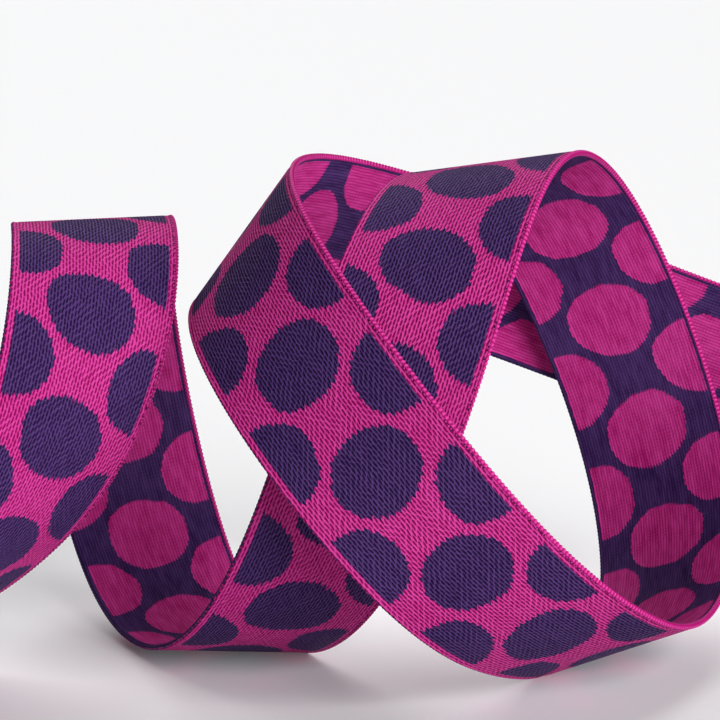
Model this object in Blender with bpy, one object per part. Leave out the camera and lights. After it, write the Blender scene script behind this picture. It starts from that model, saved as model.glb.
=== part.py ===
# A loose length of woven dotted ribbon, standing in its own springy curls.
#
# The ribbon is one flat strip that only bends and twists: it starts lying flat on the
# table at its left cut end, rises into three leaning loops and ends in the air.
# The shape is walked along the middle of the strip from the short curl table below.

import bmesh
import bpy
import numpy as np
from mathutils import Quaternion, Vector

# Driving dimensions, in metres and degrees.
WIDTH = 0.022           # woven width, selvedge to selvedge
THICKNESS = 0.0010      # firm double weave, with a little added for a solid sheet
LENGTH = 0.640          # from cut end to cut end
EDGE_ROUND = 0.0004     # how far the selvedge is rounded off in width
SINK = 0.0005           # how far the free shape would sink below the table
TAIL_HEADING = -25.5    # direction of the left tail, seen from above

# How the strip curls, read from its left cut end.
#   run    distance along the middle, in millimetres
#   bend   how fast it curls towards its back, in degrees per centimetre
#   twist  how fast it turns about its own length, in degrees per centimetre
CURL_COLUMNS = ("run", "bend", "twist")
CURL = (
    (0, 0.0, 0.0),        # left tail, flat on the table
    (15, 0.0, 0.0),
    (35, 9.0, 1.0),       # leaves the table
    (55, 11.0, 4.0),
    (70, 11.0, 8.5),
    (90, 16.0, 10.5),     # first loop, front wall
    (110, 23.5, 11.0),
    (125, 27.0, 9.5),     # first loop, top
    (150, 22.0, 2.0),
    (175, 15.5, 1.5),     # first loop, back wall
    (205, 21.0, 7.0),     # rests on the table
    (230, 19.0, 3.0),
    (260, 13.0, 6.0),     # second loop, front wall
    (285, 13.0, 10.0),
    (315, 21.5, 9.0),     # second loop, top
    (340, 19.5, 4.0),
    (365, 14.0, -1.0),    # second loop, back wall
    (395, 19.5, -3.5),
    (420, 16.0, 2.0),     # rests on the table
    (445, 12.0, -7.0),
    (465, 17.0, -5.5),    # third loop, broad front sweep
    (485, 14.0, -1.5),
    (505, 14.5, 3.5),
    (530, 22.0, 7.5),     # third loop, upper turn
    (560, 10.0, 1.5),
    (590, 9.0, 2.5),      # far strip, passing behind the second loop
    (620, 11.0, 6.0),
    (640, 11.5, 6.5),     # right cut end, in the air
)

# Mesh resolution.
WALK_STEP = 0.0010
ROW_STEP = 0.0025
OVERRUN = 0.015         # the walk goes past the right end, for its square cut
EDGE_BAND = 0.0018      # narrow bands beside both selvedges, flat where they rest

PINK = (0.35, 0.021, 0.16, 1.0)
CLOTH_ROUGHNESS = 0.8


def clear_scene():
    for old in list(bpy.data.objects):
        bpy.data.objects.remove(old, do_unlink=True)


def curl_columns():
    """The curl table in metres and radians per metre, with the slant of each bend line."""
    table = dict(zip(CURL_COLUMNS, np.array(CURL).T))
    run = table["run"] / 1000.0
    bend = np.radians(table["bend"]) * 100.0
    twist = np.radians(table["twist"]) * 100.0
    slant = np.divide(twist, bend, out=np.zeros_like(bend), where=bend > 0)
    return run, bend, twist, slant


def walk_strip():
    """Follow the middle of the strip; return its run, place, frame and slant at each step."""
    run_rows, bend_rows, twist_rows, slant_rows = curl_columns()
    runs = np.arange(0.0, LENGTH + OVERRUN, WALK_STEP)
    heading = np.radians(TAIL_HEADING)
    along = Vector((np.cos(heading), np.sin(heading), 0.0))
    normal = Vector((0.0, 0.0, 1.0))
    place = Vector((0.0, 0.0, THICKNESS / 2 - SINK))
    steps = []
    for run in runs:
        across = normal.cross(along)
        steps.append((*place, *along, *normal, *across))
        middle = run + WALK_STEP / 2
        bend = np.interp(middle, run_rows, bend_rows)
        twist = np.interp(middle, run_rows, twist_rows)
        turn = -(along * twist + across * bend) * WALK_STEP
        if turn.length > 0:
            half = Quaternion(turn.normalized(), turn.length / 2)
            halfway = half @ along
            along = half @ halfway
            normal = half @ (half @ normal)
        else:
            halfway = along
        place = place + halfway * WALK_STEP
    steps = np.array(steps)
    slant = np.interp(runs, run_rows, slant_rows)
    return runs, steps, slant


def strip_point(walk, run, side):
    """Place and normal of the cloth at a flat run along it and a distance from its middle."""
    runs, steps, slant = walk
    met = run
    for _ in range(4):
        met = run - side * np.interp(met, runs, slant)
    met = max(met, 0.0)
    state = np.array([np.interp(met, runs, column) for column in steps.T])
    place, along, normal, across = state.reshape(4, 3)
    lean = np.interp(met, runs, slant)
    point = place + side * across + (run - met) * along
    return Vector(point), Vector(normal).normalized()


def section(walk, run):
    """One closed section of the cloth: outer face, right selvedge, inner face, left selvedge."""
    face_edge = WIDTH / 2 - EDGE_ROUND
    band = face_edge - EDGE_BAND
    third = band / 2.3
    sides = (-face_edge, -band, -third, third, band, face_edge)
    layout = [(side, -0.5) for side in sides]
    layout.append((WIDTH / 2, 0.0))
    layout += [(side, 0.5) for side in reversed(sides)]
    layout.append((-WIDTH / 2, 0.0))
    ring = []
    for side, depth in layout:
        point, normal = strip_point(walk, run, side)
        lowest = min((point - normal * THICKNESS / 2).z, (point + normal * THICKNESS / 2).z)
        pressed = max(0.0, -lowest)
        ring.append(point + normal * depth * THICKNESS + Vector((0.0, 0.0, pressed)))
    return ring


def build_ribbon():
    walk = walk_strip()
    row_count = round(LENGTH / ROW_STEP)
    rings = [section(walk, LENGTH * row / row_count) for row in range(row_count + 1)]

    corners = np.array([corner for ring in rings for corner in ring])
    low = corners.min(axis=0)
    high = corners.max(axis=0)
    base = Vector(((low[0] + high[0]) / 2, (low[1] + high[1]) / 2, low[2]))

    mesh = bpy.data.meshes.new("ribbon")
    shape = bmesh.new()
    rows = [[shape.verts.new(corner - base) for corner in ring] for ring in rings]
    for row, following in zip(rows, rows[1:]):
        for index in range(len(row)):
            after = (index + 1) % len(row)
            shape.faces.new((row[index], row[after], following[after], following[index]))
    shape.faces.new(rows[0])
    shape.faces.new(rows[-1])
    bmesh.ops.recalc_face_normals(shape, faces=shape.faces)
    shape.to_mesh(mesh)
    shape.free()

    ribbon = bpy.data.objects.new("ribbon", mesh)
    bpy.context.scene.collection.objects.link(ribbon)
    return ribbon


def cloth_material():
    material = bpy.data.materials.new("ribbon_cloth")
    material.use_nodes = True
    shader = material.node_tree.nodes["Principled BSDF"]
    shader.inputs["Base Color"].default_value = PINK
    shader.inputs["Roughness"].default_value = CLOTH_ROUGHNESS
    shader.inputs["Metallic"].default_value = 0.0
    return material


clear_scene()
build_ribbon().data.materials.append(cloth_material())
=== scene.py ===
# A loose length of woven spotted ribbon, standing in its own curls on a pale table.
import math

import bpy
import numpy as np
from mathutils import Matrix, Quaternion, Vector


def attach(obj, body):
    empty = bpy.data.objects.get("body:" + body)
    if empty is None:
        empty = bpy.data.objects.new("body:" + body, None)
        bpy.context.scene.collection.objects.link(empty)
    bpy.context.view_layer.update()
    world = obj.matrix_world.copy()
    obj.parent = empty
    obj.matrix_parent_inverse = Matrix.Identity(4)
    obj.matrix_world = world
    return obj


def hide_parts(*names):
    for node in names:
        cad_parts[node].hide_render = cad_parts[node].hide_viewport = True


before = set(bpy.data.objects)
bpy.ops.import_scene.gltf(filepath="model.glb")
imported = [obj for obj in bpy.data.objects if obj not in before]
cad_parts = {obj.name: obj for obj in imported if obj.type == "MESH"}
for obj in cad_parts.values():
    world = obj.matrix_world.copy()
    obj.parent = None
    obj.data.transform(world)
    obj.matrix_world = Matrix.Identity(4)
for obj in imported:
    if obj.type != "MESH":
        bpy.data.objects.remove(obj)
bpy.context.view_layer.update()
print("frame loaded")


# small helpers for the node trees
def link(tree, value, socket):
    # a socket is joined, a number or colour is written into the field
    if isinstance(value, bpy.types.NodeSocket):
        tree.links.new(value, socket)
    else:
        socket.default_value = value


def calc(tree, operation, *values):
    node = tree.nodes.new("ShaderNodeMath")
    node.operation = operation
    for index, value in enumerate(values):
        link(tree, value, node.inputs[index])
    return node.outputs[0]


def ramp(tree, value, fromLow, fromHigh, toLow=0.0, toHigh=1.0):
    # a smooth step from one value to another
    node = tree.nodes.new("ShaderNodeMapRange")
    node.interpolation_type = "SMOOTHSTEP"
    for index, item in enumerate((value, fromLow, fromHigh, toLow, toHigh)):
        link(tree, item, node.inputs[index])
    return node.outputs[0]


def blendColours(tree, factor, first, second):
    node = tree.nodes.new("ShaderNodeMix")
    node.data_type = "RGBA"
    link(tree, factor, node.inputs[0])
    link(tree, first, node.inputs[6])
    link(tree, second, node.inputs[7])
    return node.outputs[2]


def blendValues(tree, factor, first, second):
    node = tree.nodes.new("ShaderNodeMix")
    node.data_type = "FLOAT"
    link(tree, factor, node.inputs[0])
    link(tree, first, node.inputs[2])
    link(tree, second, node.inputs[3])
    return node.outputs[0]


def noise(tree, vector, scale, detail=1.0):
    # a value between 0 and 1 that drifts from place to place
    node = tree.nodes.new("ShaderNodeTexNoise")
    link(tree, vector, node.inputs["Vector"])
    node.inputs["Scale"].default_value = scale
    node.inputs["Detail"].default_value = detail
    node.inputs["Roughness"].default_value = 0.5
    return node.outputs["Fac"]


def joinVector(tree, x, y, z=0.0):
    node = tree.nodes.new("ShaderNodeCombineXYZ")
    for index, value in enumerate((x, y, z)):
        link(tree, value, node.inputs[index])
    return node.outputs[0]


def splitVector(tree, vector):
    node = tree.nodes.new("ShaderNodeSeparateXYZ")
    link(tree, vector, node.inputs[0])
    return node.outputs[0], node.outputs[1], node.outputs[2]


def noisePair(tree, vector, scale, detail=1.0):
    # two drifting values that don't follow each other
    node = noise(tree, vector, scale, detail).node
    first, second, _ = splitVector(tree, node.outputs["Color"])
    return first, second


def sway(tree, value, drift, amount):
    # moves a value by up to half the amount either way, as a drifting value says
    return calc(tree, "MULTIPLY_ADD", calc(tree, "SUBTRACT", drift, 0.5), amount, value)


def wave(tree, value, period):
    # a sharp zigzag between -1 and 1
    part = calc(tree, "FRACT", calc(tree, "DIVIDE", value, period))
    part = calc(tree, "ABSOLUTE", calc(tree, "SUBTRACT", part, 0.5))
    return calc(tree, "MULTIPLY_ADD", part, 4.0, -1.0)


def fromWhole(tree, value):
    # how far a value is from the nearest whole number
    part = calc(tree, "SUBTRACT", calc(tree, "FRACT", value), 0.5)
    return calc(tree, "SUBTRACT", 0.5, calc(tree, "ABSOLUTE", part))


def startGroup(name, inputs, outputs):
    # takes the cloth's map and the named numbers, and gives the named values
    group = bpy.data.node_groups.new(name, "ShaderNodeTree")
    group.interface.new_socket(name="Cloth", in_out="INPUT", socket_type="NodeSocketVector")
    for title in inputs:
        group.interface.new_socket(name=title, in_out="INPUT", socket_type="NodeSocketFloat")
    for title in outputs:
        group.interface.new_socket(name=title, in_out="OUTPUT", socket_type="NodeSocketFloat")
    entry = group.nodes.new("NodeGroupInput")
    exitNode = group.nodes.new("NodeGroupOutput")
    return group, entry.outputs, exitNode.inputs


def placeGroup(tree, group, **values):
    node = tree.nodes.new("ShaderNodeGroup")
    node.node_tree = group
    for title, value in values.items():
        link(tree, value, node.inputs[title])
    return node.outputs


# the shape: one flat strip, bent by walking along its middle
ribbonShape = {
    "length": 640.0,            # all in millimetres and degrees
    "thickness": 0.7,
    "pressedHalf": 0.43,        # at least the thickest half section, so none sinks
    "tailStart": (-88.83, 8.09),
    "tailHeading": -25.5,
    "beads": 1032,              # round beads along each selvedge, two rows of faces each
    "beadStart": 10.55,
    "beadReach": 0.07,
    "beadSwell": 0.11,
    "darkBeadShare": 0.4,       # the dark selvedge is smoother
    "walkStep": 1.0,
    "overrun": 15.0,
    # run, bend per cm, twist per cm
    "curls": (
        (0, 0.0, 0.0), (15, 0.0, 0.0), (35, 9.0, 1.0), (55, 11.0, 4.0),
        (70, 11.0, 8.5), (90, 16.0, 10.5), (110, 23.5, 11.0), (125, 27.0, 9.5),
        (150, 22.0, 2.0), (175, 15.5, 1.5), (205, 21.0, 7.0), (230, 19.0, 3.0),
        (260, 13.0, 6.0), (285, 13.0, 10.0), (315, 21.5, 9.0), (340, 19.5, 4.0),
        (365, 14.0, -1.0), (395, 19.5, -3.5), (420, 16.0, 2.0), (445, 12.0, -7.0),
        (465, 17.0, -5.5), (485, 14.0, -1.5), (505, 14.5, 3.5), (530, 22.0, 7.5),
        (560, 10.0, 1.5), (590, 9.0, 2.5), (620, 11.0, 6.0), (640, 11.5, 6.5),
    ),
    # section from the middle to the selvedge: distance out, half thickness
    "section": (
        (0.0, 0.35), (2.5, 0.35), (5.0, 0.35), (7.5, 0.35), (9.7, 0.35),
        (10.2, 0.31), (10.4, 0.33), (10.65, 0.38), (10.85, 0.32), (11.0, 0.14),
    ),
}


def walkCurls(shape):
    run, bend, twist = np.array(shape["curls"]).T
    bend = np.radians(bend) / 10.0
    twist = np.radians(twist) / 10.0
    slant = np.divide(twist, bend, out=np.zeros_like(bend), where=bend > 0)
    step = shape["walkStep"]
    heading = math.radians(shape["tailHeading"])
    along = Vector((math.cos(heading), math.sin(heading), 0.0))
    normal = Vector((0.0, 0.0, 1.0))
    place = Vector((*shape["tailStart"], 0.0))
    runs = np.arange(0.0, shape["length"] + shape["overrun"], step)
    states = []
    for here in runs:
        across = normal.cross(along)
        states.append((*place, *along, *normal, *across))
        middle = here + step / 2
        turn = -(along * float(np.interp(middle, run, twist))
                 + across * float(np.interp(middle, run, bend))) * step
        halfway = along
        if turn.length > 0:
            half = Quaternion(turn.normalized(), turn.length / 2)
            halfway = half @ along
            along = half @ halfway
            normal = half @ (half @ normal)
        place = place + halfway * step
    return runs, np.array(states), np.interp(runs, run, slant)


def bendOntoCurls(obj, shape, walk):
    # flat x is the side, y the run and z the height over the middle of the cloth
    runs, states, slants = walk
    count = len(obj.data.vertices)
    flat = np.empty(count * 3, np.float32)
    obj.data.vertices.foreach_get("co", flat)
    side, run, height = flat.reshape(-1, 3).astype(float).T
    met = run.copy()
    for _ in range(4):      # settles where the slanted bend line crosses the middle
        met = run - side * np.interp(met, runs, slants)
    met = np.maximum(met, 0.0)
    state = np.array([np.interp(met, runs, column) for column in states.T])
    place, along, normal, across = state.reshape(4, 3, -1)
    point = place + side * across + (run - met) * along
    normal = normal / np.linalg.norm(normal, axis=0)
    lowest = point[2] - np.abs(normal[2]) * shape["pressedHalf"]
    point = point + normal * height
    point[2] += np.maximum(0.0, -lowest)    # pressed flat where it rests
    obj.data.vertices.foreach_set("co", (point.T / 1000.0).astype(np.float32).ravel())
    obj.data.update()


def makeFlatStrip(shape):
    # a grid laid out flat, two rows a bead, given its thickness by Solidify
    section = shape["section"]
    outs = [out for out, half in section]
    halves = [half for out, half in section]
    columns = 2 * (len(section) - 1)
    rows = 2 * shape["beads"]
    bpy.ops.object.select_all(action="DESELECT")
    bpy.ops.mesh.primitive_grid_add(x_subdivisions=columns, y_subdivisions=rows, size=2.0)
    strip = bpy.context.object
    strip.name = "ribbonCloth"
    solid = strip.modifiers.new("thickness", "SOLIDIFY")
    solid.thickness = shape["thickness"]
    solid.offset = 0.0
    bpy.ops.object.modifier_apply(modifier=solid.name)
    halfCount = len(section) - 1
    for vertex in strip.data.vertices:
        step = abs(vertex.co.x) * halfCount
        out = float(np.interp(step, range(len(outs)), outs))
        half = float(np.interp(step, range(len(halves)), halves))
        top = 1.0 if vertex.co.z > 0 else -1.0
        along = (vertex.co.y + 1.0) / 2
        if out > shape["beadStart"]:
            crest = 1.0 if round(along * rows) % 2 else -1.0
            crest *= 1.0 if vertex.co.x > 0 else shape["darkBeadShare"]
            out += crest * shape["beadReach"]
            half *= 1.0 + crest * shape["beadSwell"]
        vertex.co.x = math.copysign(out, vertex.co.x)
        vertex.co.y = along * shape["length"]
        vertex.co.z = top * half
    return strip


def layFlatMap(strip, shape):
    # the cloth's own map, in millimetres: run along it, then distance from its middle
    mesh = strip.data
    for old in list(mesh.uv_layers):
        mesh.uv_layers.remove(old)
    clothMap = mesh.uv_layers.new(name="clothMap")
    for face in mesh.polygons:
        outer = face.normal.z < -0.5
        inner = face.normal.z > 0.5
        face.material_index = 1 if inner else 0
        for loop in face.loop_indices:
            place = mesh.vertices[mesh.loops[loop].vertex_index].co
            side = place.x
            if not outer and not inner and place.z > 0:
                # the rim goes on round the thickness of the cloth
                side = math.copysign(abs(side) + shape["thickness"] / 2, side)
            clothMap.data[loop].uv = (place.y, side)
        face.use_smooth = True


walk = walkCurls(ribbonShape)
ribbon = makeFlatStrip(ribbonShape)
layFlatMap(ribbon, ribbonShape)
bendOntoCurls(ribbon, ribbonShape, walk)
print("ribbon bent,", len(ribbon.data.polygons), "faces")


# the weave, as node groups that both faces of the cloth share; all in millimetres
spotPattern = {
    "pitch": 17.0,
    "first": 75.0,              # run of the first middle spot
    "halfRun": 5.45,
    "halfSide": 6.0,
    "edgeCentre": 9.95,         # the half spots along both selvedges
    "edgeHalfSide": 5.85,
    "edgeHalfRun": 5.5,
    "roundness": 2.1,
    "wobbleScale": 0.085,       # no two spots are quite alike
    "wobbleRun": 1.7,
    "wobbleSide": 1.5,
    "knockScale": 0.34,         # small dents in their outlines
    "knock": 0.9,
    "unevenScale": 1.1,
    "sideToothPitch": 1.05,
    "sideToothShare": 0.42,
    "minusReach": 0.2,
    "borderSway": 0.3,
    "borderSlope": 0.4,
    "outlineSoft": 0.012,
    "edgeWidth": 0.14,
}


def spotGroup(settings):
    # the staggered round spots, their outline stepped in teeth by the yarns
    group, entry, ending = startGroup(
        "wovenSpots", ("ToothPitch", "ToothDepth", "Border"), ("Spot", "Edge"))
    cloth = entry["Cloth"]
    run, side, _ = splitVector(group, cloth)
    wobbleRun, wobbleSide = noisePair(group, cloth, settings["wobbleScale"], detail=0.0)
    uneven = noise(group, cloth, settings["unevenScale"])
    depth = calc(group, "MULTIPLY", uneven, calc(group, "MULTIPLY", entry["ToothDepth"], 2.0))
    toothRun = calc(group, "MULTIPLY", wave(group, side, entry["ToothPitch"]), depth)
    toothSide = calc(group, "MULTIPLY", wave(group, run, settings["sideToothPitch"]),
                     calc(group, "MULTIPLY", depth, settings["sideToothShare"]))
    knockRun, knockSide = noisePair(group, cloth, settings["knockScale"])
    toothRun = sway(group, toothRun, knockRun, settings["knock"])
    toothSide = sway(group, toothSide, knockSide, settings["knock"])
    bentRun = sway(group, calc(group, "ADD", run, toothRun), wobbleRun, settings["wobbleRun"])
    bentSide = sway(group, calc(group, "ADD", side, toothSide), wobbleSide,
                    settings["wobbleSide"])

    def spot(phase, centre, halfRun, halfSide, sideValue):
        # 1 at the middle of a spot, 0 on its outline and less outside
        pitch = settings["pitch"]
        offset = calc(group, "SUBTRACT", bentRun, settings["first"] + phase - pitch / 2)
        offset = calc(group, "FLOORED_MODULO", offset, pitch)
        offset = calc(group, "DIVIDE", calc(group, "SUBTRACT", offset, pitch / 2), halfRun)
        out = calc(group, "DIVIDE", calc(group, "SUBTRACT", sideValue, centre), halfSide)
        total = calc(group, "ADD", *(
            calc(group, "POWER", calc(group, "ABSOLUTE", share), settings["roundness"])
            for share in (offset, out)))
        return calc(group, "SUBTRACT", 1.0, total)

    middle = spot(0.0, 0.0, settings["halfRun"], settings["halfSide"], bentSide)
    edge = spot(settings["pitch"] / 2, settings["edgeCentre"], settings["edgeHalfRun"],
                settings["edgeHalfSide"], calc(group, "ABSOLUTE", bentSide))
    # the half spots reach a little farther out beside the dark selvedge
    reach = ramp(group, side, -1.0, 1.0, settings["minusReach"], 0.0)
    fromBorder = calc(group, "SUBTRACT", calc(group, "ADD", entry["Border"], reach),
                      calc(group, "ABSOLUTE", side))
    fromBorder = sway(group, fromBorder, uneven, settings["borderSway"])
    edge = calc(group, "MINIMUM", edge,
                calc(group, "MULTIPLY", fromBorder, settings["borderSlope"]))
    nearest = calc(group, "MAXIMUM", middle, edge)
    soft = settings["outlineSoft"]
    link(group, ramp(group, nearest, -soft, soft), ending["Spot"])
    fromOutline = calc(group, "ABSOLUTE", nearest)
    link(group, ramp(group, fromOutline, 0.0, settings["edgeWidth"], 1.0, 0.0), ending["Edge"])
    return group


# paired numbers are the two ends of a range
warpFloats = {
    "columnPitch": 0.43,
    "floatLength": 1.05,
    "swayScale": 0.7,
    "swaySide": 0.26,
    "swayRun": 0.7,
    "seamScale": 1.9,
    "seamShift": 0.22,
    "lean": (-0.12, 0.26),
    "lensTaper": (0.42, 1.0),
    "openness": (0.09, 0.23),
    "closedSlit": 0.012,
    "slitSoft": (0.3, 1.3),
    "groove": 0.42,
    "slitGroove": 0.55,
    "threadScale": 1.7,
}


def floatGroup(settings):
    # lengthwise floats that sway around short slits, the slits in staggered rows
    group, entry, ending = startGroup("warpFloats", (), ("Height", "Slit", "ToneAndHighlight"))
    cloth = entry["Cloth"]
    run, side, _ = splitVector(group, cloth)
    driftRun, driftSide = noisePair(group, cloth, settings["swayScale"], detail=2.0)
    side = sway(group, side, driftSide, settings["swaySide"])
    run = sway(group, run, driftRun, settings["swayRun"])
    across = calc(group, "DIVIDE", side, settings["columnPitch"])
    seam = calc(group, "FLOOR", calc(group, "ADD", across, 0.5))
    stagger = calc(group, "FRACT", calc(group, "MULTIPLY", seam, 0.5))
    along = calc(group, "ADD", calc(group, "DIVIDE", run, settings["floatLength"]), stagger)
    seamPlace = joinVector(group, calc(group, "MULTIPLY", run, 0.4), seam, 3.0)
    seamNoise = noise(group, seamPlace, settings["seamScale"])
    along = calc(group, "MULTIPLY_ADD", seamNoise, settings["seamShift"], along)
    # from -1 at the start of a slit to 1 at its end
    middle = calc(group, "SUBTRACT", calc(group, "FRACT", along), 0.5)
    middle = calc(group, "MULTIPLY", middle, 2.0)
    # each slit leans a little, by an amount that changes from place to place
    lean = ramp(group, noise(group, cloth, 0.4), 0.3, 0.7, *settings["lean"])
    offSeam = calc(group, "SUBTRACT", calc(group, "SUBTRACT", across, seam),
                   calc(group, "MULTIPLY", middle, lean))
    fromSeam = calc(group, "ABSOLUTE", offSeam)
    lens = ramp(group, calc(group, "ABSOLUTE", middle), *settings["lensTaper"], 1.0, 0.0)
    openness = ramp(group, seamNoise, 0.25, 0.7, *settings["openness"])
    slitWidth = calc(group, "MULTIPLY_ADD", lens, openness, settings["closedSlit"])
    slit = calc(group, "DIVIDE", fromSeam, slitWidth)
    slit = ramp(group, slit, *settings["slitSoft"], 1.0, 0.0)
    slit = calc(group, "MULTIPLY", slit, ramp(group, lens, 0.0, 0.45, 0.2, 1.0))
    crown = ramp(group, fromSeam, 0.0, 0.5)
    groove = calc(group, "MULTIPLY_ADD", lens, settings["slitGroove"], settings["groove"])
    sunk = calc(group, "MULTIPLY", calc(group, "SUBTRACT", 1.0, crown), groove)
    height = calc(group, "SUBTRACT", 1.0, sunk)
    height = calc(group, "MULTIPLY", height, calc(group, "SUBTRACT", 1.0, slit))
    link(group, height, ending["Height"])
    link(group, slit, ending["Slit"])
    thread = calc(group, "FLOOR", across)
    threadPlace = joinVector(group, calc(group, "MULTIPLY", run, 0.35), thread, 7.0)
    threadNoise = noise(group, threadPlace, settings["threadScale"])
    # random tone from thread to thread, plus a painted highlight on the crown of each float,
    # lighter where it stands highest
    toneAndHighlight = calc(group, "ADD", calc(group, "MULTIPLY", threadNoise, 0.5),
                calc(group, "MULTIPLY", height, 0.5))
    link(group, toneAndHighlight, ending["ToneAndHighlight"])
    return group


reverseGrid = {
    "columnPitch": 0.43,
    "weftPitch": 0.52,
    "swayScale": 0.6,
    "swaySide": 0.18,
    "swayRun": 0.5,
    "threadScale": 1.4,
    "ribFloor": 0.28,           # how low the seam between two ribs lies
    "pickFloor": (0.2, 0.75),   # the same for the weft, which fades in and out
    "slitRange": (0.08, 0.75),
    "streakScale": 0.9,
    # the thread share is random tone; the rib and streak shares paint a highlight on the top of
    # each rib and streaks of sheen along the floats
    "threadTone": 0.35,
    "ribHighlight": 0.2,
    "streakSheen": 0.45,
}


def gridGroup(settings):
    # the quieter reverse: fine lengthwise ribs crossed by the weft
    group, entry, ending = startGroup("reverseGrid", (), ("Height", "Slit", "ToneAndHighlight"))
    cloth = entry["Cloth"]
    run, side, _ = splitVector(group, cloth)
    driftRun, driftSide = noisePair(group, cloth, settings["swayScale"], detail=2.0)
    side = sway(group, side, driftSide, settings["swaySide"])
    run = sway(group, run, driftRun, settings["swayRun"])
    across = calc(group, "DIVIDE", side, settings["columnPitch"])
    column = calc(group, "FLOOR", across)
    along = calc(group, "DIVIDE", run, settings["weftPitch"])
    threadPlace = joinVector(group, calc(group, "MULTIPLY", run, 0.3), column, 5.0)
    threadNoise = noise(group, threadPlace, settings["threadScale"])
    faint = ramp(group, threadNoise, 0.3, 0.7, *settings["pickFloor"])
    rib = ramp(group, fromWhole(group, across), 0.0, 0.4, settings["ribFloor"], 1.0)
    pick = ramp(group, fromWhole(group, along), 0.0, 0.34, faint, 1.0)
    height = calc(group, "MULTIPLY", rib, pick)
    link(group, height, ending["Height"])
    # the low seams between ribs and picks, which the cloth paints with shade
    link(group, ramp(group, height, *settings["slitRange"], 1.0, 0.0), ending["Slit"])
    # lengthwise streaks of painted sheen along the floats, placed at random
    streakPlace = joinVector(group, calc(group, "MULTIPLY", run, 0.22), side, 9.0)
    streak = noise(group, streakPlace, settings["streakScale"], detail=2.0)
    # random thread tone, plus a painted highlight on the top of each rib
    toneAndHighlight = calc(group, "ADD", calc(group, "MULTIPLY", threadNoise, settings["threadTone"]),
                calc(group, "MULTIPLY", rib, settings["ribHighlight"]))
    toneAndHighlight = calc(group, "MULTIPLY_ADD", streak, settings["streakSheen"], toneAndHighlight)
    link(group, toneAndHighlight, ending["ToneAndHighlight"])
    return group


selvedges = {
    "driftScale": 1.3,
    "driftRun": 0.7,
    "driftOut": 0.12,
    "minusNarrower": 0.2,
    "rimSoft": 0.03,
    "lineInside": 0.09,         # the dark line lies this far inside the pink rim
    "lineSoft": (0.07, 0.16),
    "dotPitch": 0.52,
    "gapScale": 1.1,
    "beadCentre": 0.3,
    "beadFlatness": 1.5,
    "beadSoft": (0.1, 0.52),
    "dashPitch": 0.9,
    "darkOutside": (10.98, 11.08),
}


def borderGroup(settings, beadPitch):
    # the two selvedges: a pink rim of small round beads with a broken line of dark dots
    # inside it on the plus side, and a narrow rim of dark dashes on the minus side
    group, entry, ending = startGroup(
        "selvedge", ("RimStarts", "RimTeeth", "DarkShare"), ("Rim", "Line", "Bead", "Dark"))
    cloth = entry["Cloth"]
    run, side, _ = splitVector(group, cloth)
    out = calc(group, "ABSOLUTE", side)
    minus = calc(group, "LESS_THAN", side, 0.0)
    drift = noise(group, cloth, settings["driftScale"])
    beadRun = calc(group, "FRACT", calc(group, "DIVIDE", run, beadPitch))
    beadRun = calc(group, "SUBTRACT", beadRun, 0.5)
    tooth = calc(group, "MULTIPLY", wave(group, run, beadPitch), entry["RimTeeth"])
    run = calc(group, "MULTIPLY_ADD", drift, settings["driftRun"], run)
    out = sway(group, out, drift, settings["driftOut"])
    starts = calc(group, "MULTIPLY_ADD", minus, settings["minusNarrower"], entry["RimStarts"])
    fromRim = calc(group, "ADD", calc(group, "SUBTRACT", out, starts), tooth)
    soft = settings["rimSoft"]
    link(group, ramp(group, fromRim, -soft, soft), ending["Rim"])
    fromLine = calc(group, "ABSOLUTE", calc(group, "ADD", fromRim, settings["lineInside"]))
    line = ramp(group, fromLine, *settings["lineSoft"], 1.0, 0.0)
    gap = noise(group, joinVector(group, run, 0.0, 4.0), settings["gapScale"], detail=0.0)
    dot = ramp(group, wave(group, run, settings["dotPitch"]), -0.55, 0.25)
    dot = calc(group, "MULTIPLY", dot, ramp(group, gap, 0.42, 0.52, 0.15, 1.0))
    dot = calc(group, "MULTIPLY", dot, calc(group, "SUBTRACT", 1.0, minus))
    link(group, calc(group, "MULTIPLY", line, dot), ending["Line"])
    # the round shape of each bead, for the rim's relief and its painted highlight
    beadOut = calc(group, "MULTIPLY", calc(group, "SUBTRACT", fromRim, settings["beadCentre"]),
                   settings["beadFlatness"])
    far = calc(group, "SQRT", calc(group, "ADD", *(
        calc(group, "MULTIPLY", part, part) for part in (beadRun, beadOut))))
    link(group, ramp(group, far, *settings["beadSoft"], 1.0, 0.0), ending["Bead"])
    # dashes are longer where the drift and the share of dark say
    level = calc(group, "MULTIPLY_ADD", gap, 2.4, -1.2)
    level = calc(group, "ADD", level,
                 calc(group, "MULTIPLY_ADD", entry["DarkShare"], 2.0, -1.0))
    beyond = calc(group, "SUBTRACT", wave(group, run, settings["dashPitch"]), level)
    dash = ramp(group, beyond, -0.3, 0.3, 1.0, 0.0)
    dash = calc(group, "MAXIMUM", dash, ramp(group, out, *settings["darkOutside"]))
    link(group, calc(group, "MULTIPLY", dash, minus), ending["Dark"])
    return group


clothColours = {
    # the pale and deep ends of each yarn colour give random tone, and also painted highlight on
    # the yarn crowns and painted shade in the grooves between them
    "pinkLight": (0.57, 0.046, 0.280, 1.0),
    "pinkDark": (0.33, 0.004, 0.118, 1.0),
    # the slit colours are painted shade in the slits and low seams between the yarns
    "pinkSlitShade": (0.17, 0.0005, 0.050, 1.0),
    "purpleLight": (0.070, 0.031, 0.136, 1.0),
    "purpleDark": (0.021, 0.006, 0.052, 1.0),
    "purpleSlitShadeAndDots": (0.007, 0.003, 0.024, 1.0),
    # the rim colours paint a highlight on the middle of each bead and shade between the beads
    "rimBeadHighlight": (0.64, 0.052, 0.31, 1.0),
    "rimBeadShade": (0.38, 0.003, 0.13, 1.0),
    "sheenTint": (0.85, 0.75, 0.9, 1.0),
}

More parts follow.
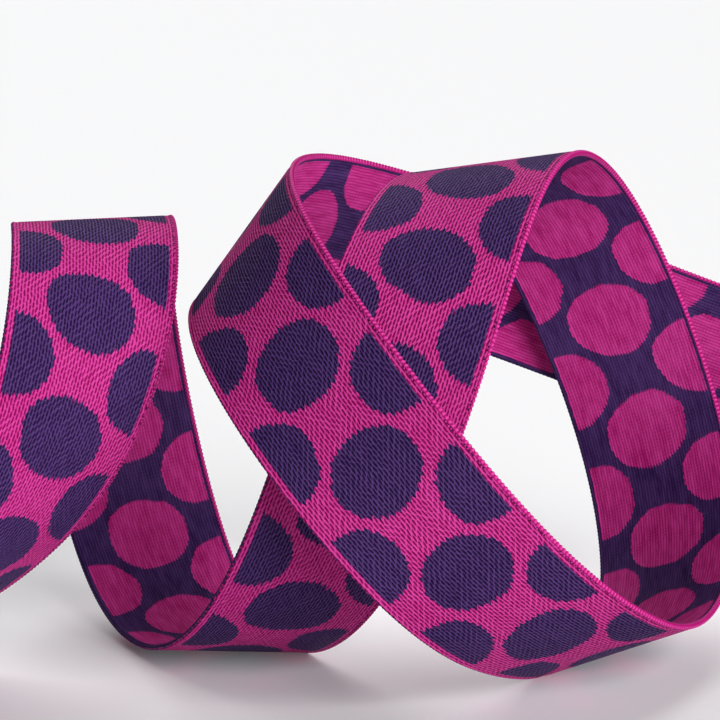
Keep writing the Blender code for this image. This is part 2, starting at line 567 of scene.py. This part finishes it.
# what both faces share; heights in millimetres
clothRelief = {
    "broadScale": 0.05,
    "broadShare": 0.25,         # how much of the tone drifts over broad patches
    "fineScale": 6.0,
    "toneRange": (0.3, 0.72),
    "spotEdge": -0.04,
    "fuzz": 0.015,
    "line": -0.08,
    "bead": 0.16,
    "rimBase": 0.02,
    "slitRoughness": 0.75,
    "sheenRoughness": 0.35,
}

spotNodes = spotGroup(spotPattern)
floatNodes = floatGroup(warpFloats)
gridNodes = gridGroup(reverseGrid)
borderNodes = borderGroup(selvedges, ribbonShape["length"] / ribbonShape["beads"])


def clothMaterial(name, finish):
    # one face of the cloth: ground and spot yarns change places between the faces
    material = bpy.data.materials.new(name)
    material.use_nodes = True
    tree = material.node_tree
    shader = tree.nodes["Principled BSDF"]
    mapNode = tree.nodes.new("ShaderNodeUVMap")
    mapNode.uv_map = "clothMap"
    cloth = mapNode.outputs[0]
    spots = placeGroup(tree, spotNodes, Cloth=cloth, Border=finish["border"],
                       ToothPitch=finish["toothPitch"], ToothDepth=finish["toothDepth"])
    yarn = placeGroup(tree, floatNodes if finish["face"] else gridNodes, Cloth=cloth)
    border = placeGroup(tree, borderNodes, Cloth=cloth, RimStarts=finish["rimStarts"],
                        RimTeeth=finish["rimTeeth"], DarkShare=finish["darkShare"])
    broad = noise(tree, cloth, clothRelief["broadScale"], detail=2.0)
    fine = noise(tree, cloth, clothRelief["fineScale"], detail=2.0)
    toneAndHighlight = calc(tree, "ADD", calc(tree, "MULTIPLY", yarn["ToneAndHighlight"], 1.0 - clothRelief["broadShare"]),
                calc(tree, "MULTIPLY", broad, clothRelief["broadShare"]))
    toneAndHighlight = ramp(tree, toneAndHighlight, *clothRelief["toneRange"])
    # painted shade in the slits and low seams between the yarns: the slit colours darken the yarn
    # there
    slit = calc(tree, "MULTIPLY", yarn["Slit"], finish["slitShadeStrength"])
    # the yarn colours run from painted shade in the grooves to painted highlight on the crowns,
    # mixed with random and broad patchy tone
    pink = blendColours(tree, toneAndHighlight, clothColours["pinkDark"], clothColours["pinkLight"])
    purple = blendColours(tree, toneAndHighlight, clothColours["purpleDark"], clothColours["purpleLight"])
    pink = blendColours(tree, slit, pink, clothColours["pinkSlitShade"])
    purple = blendColours(tree, slit, purple, clothColours["purpleSlitShadeAndDots"])
    ground, spotColour = (pink, purple) if finish["face"] else (purple, pink)
    colour = blendColours(tree, spots["Spot"], ground, spotColour)
    # each rim bead gets a painted highlight at its middle, with painted shade between the beads
    rimPink = blendColours(tree, border["Bead"], clothColours["rimBeadShade"], clothColours["rimBeadHighlight"])
    # the broken line of dark dots is the cloth's own colour, in the same deep purple as the slit
    # shade
    lineDark = calc(tree, "MULTIPLY", border["Line"], finish["lineDepth"])
    colour = blendColours(tree, lineDark, colour, clothColours["purpleSlitShadeAndDots"])
    rimColour = blendColours(tree, border["Dark"], rimPink, purple)
    colour = blendColours(tree, border["Rim"], colour, rimColour)
    link(tree, colour, shader.inputs["Base Color"])
    height = calc(tree, "MULTIPLY", yarn["Height"], finish["yarnHeight"])
    height = calc(tree, "MULTIPLY_ADD", spots["Edge"], clothRelief["spotEdge"], height)
    height = calc(tree, "MULTIPLY_ADD", fine, clothRelief["fuzz"], height)
    height = calc(tree, "MULTIPLY_ADD", border["Line"], clothRelief["line"], height)
    rimHeight = calc(tree, "MULTIPLY_ADD", border["Bead"], clothRelief["bead"],
                     clothRelief["rimBase"])
    height = blendValues(tree, border["Rim"], height, rimHeight)
    bump = tree.nodes.new("ShaderNodeBump")
    bump.inputs["Strength"].default_value = 1.0
    bump.inputs["Distance"].default_value = 0.001   # the heights are in millimetres
    link(tree, height, bump.inputs["Height"])
    link(tree, bump.outputs[0], shader.inputs["Normal"])
    rough = ramp(tree, yarn["Height"], 0.0, 1.0, clothRelief["slitRoughness"],
                 finish["roughness"])
    link(tree, rough, shader.inputs["Roughness"])
    shader.inputs["Sheen Weight"].default_value = finish["sheen"]
    shader.inputs["Sheen Roughness"].default_value = clothRelief["sheenRoughness"]
    shader.inputs["Sheen Tint"].default_value = clothColours["sheenTint"]
    shader.inputs["Specular IOR Level"].default_value = finish["gloss"]
    return material


faceMaterial = clothMaterial("ribbonFace", {
    "face": True, "border": 9.75, "toothPitch": 0.86, "toothDepth": 0.34,
    "rimStarts": 10.6, "rimTeeth": 0.03, "darkShare": 0.6, "lineDepth": 0.9,
    "slitShadeStrength": 0.82, "yarnHeight": 0.12, "roughness": 0.5, "gloss": 0.04, "sheen": 0.006,
})
reverseMaterial = clothMaterial("ribbonReverse", {
    "face": False, "border": 10.08, "toothPitch": 0.43, "toothDepth": 0.2,
    "rimStarts": 10.5, "rimTeeth": 0.12, "darkShare": 1.6, "lineDepth": 0.2,
    "slitShadeStrength": 0.34, "yarnHeight": 0.04, "roughness": 0.55, "gloss": 0.05, "sheen": 0.012,
})
ribbon.data.materials.append(faceMaterial)
ribbon.data.materials.append(reverseMaterial)
print("weave painted")

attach(ribbon, "root")
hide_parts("ribbon")


# table, light and camera
studio = {
    "tableColour": (0.88, 0.88, 0.89, 1.0),
    "tableGlow": 0.04,
    "tableRoughness": 0.9,
    "tableSize": 12.0,
    "tablePlace": (0.0, 4.0, 0.0),
    "worldColour": (1.0, 1.0, 1.0, 1.0),
    "worldStrength": 0.02,
    # name, azimuth, elevation, strength, spread
    "lights": (
        ("keyLight", 42.0, 22.0, 4.0, 50.0),
        ("backLight", -165.0, 53.0, 2.1, 60.0),
    ),
    "cameraPlace": (0.0205, -0.3417, 0.1012),
    "cameraTilt": 80.0,
    "lens": 129.1,
    "sensor": 36.0,
}

bpy.ops.object.select_all(action="DESELECT")
bpy.ops.mesh.primitive_plane_add(size=studio["tableSize"], location=studio["tablePlace"])
table = bpy.context.object
table.name = "table"
tableMaterial = bpy.data.materials.new("tableTop")
tableMaterial.use_nodes = True
tableShader = tableMaterial.node_tree.nodes["Principled BSDF"]
tableShader.inputs["Base Color"].default_value = studio["tableColour"]
tableShader.inputs["Roughness"].default_value = studio["tableRoughness"]
# the table top also glows faintly: painted light that lifts it towards white and fills the
# ribbon's undersides from below
tableShader.inputs["Emission Color"].default_value = studio["tableColour"]
tableShader.inputs["Emission Strength"].default_value = studio["tableGlow"]
table.data.materials.append(tableMaterial)

world = bpy.data.worlds.new("studio")
world.use_nodes = True
background = world.node_tree.nodes["Background"]
background.inputs["Color"].default_value = studio["worldColour"]
background.inputs["Strength"].default_value = studio["worldStrength"]
bpy.context.scene.world = world


def softSun(name, azimuth, elevation, strength, spread):
    # azimuth 0 comes from the camera's side, and grows towards the right
    lightData = bpy.data.lights.new(name, "SUN")
    lightData.energy = strength
    lightData.angle = math.radians(spread)
    lamp = bpy.data.objects.new(name, lightData)
    bpy.context.scene.collection.objects.link(lamp)
    turn, rise = math.radians(azimuth), math.radians(elevation)
    level = math.cos(rise)
    source = Vector((math.sin(turn) * level, -math.cos(turn) * level, math.sin(rise)))
    lamp.rotation_euler = source.to_track_quat("Z", "Y").to_euler()
    lamp.location = source


for light in studio["lights"]:
    softSun(*light)

cameraData = bpy.data.cameras.new("camera")
cameraData.lens = studio["lens"]
cameraData.sensor_width = studio["sensor"]
camera = bpy.data.objects.new("camera", cameraData)
bpy.context.scene.collection.objects.link(camera)
camera.location = studio["cameraPlace"]
camera.rotation_euler = (math.radians(studio["cameraTilt"]), 0.0, 0.0)
bpy.context.scene.camera = camera
bpy.context.scene.view_settings.view_transform = "Standard"
print("studio set")
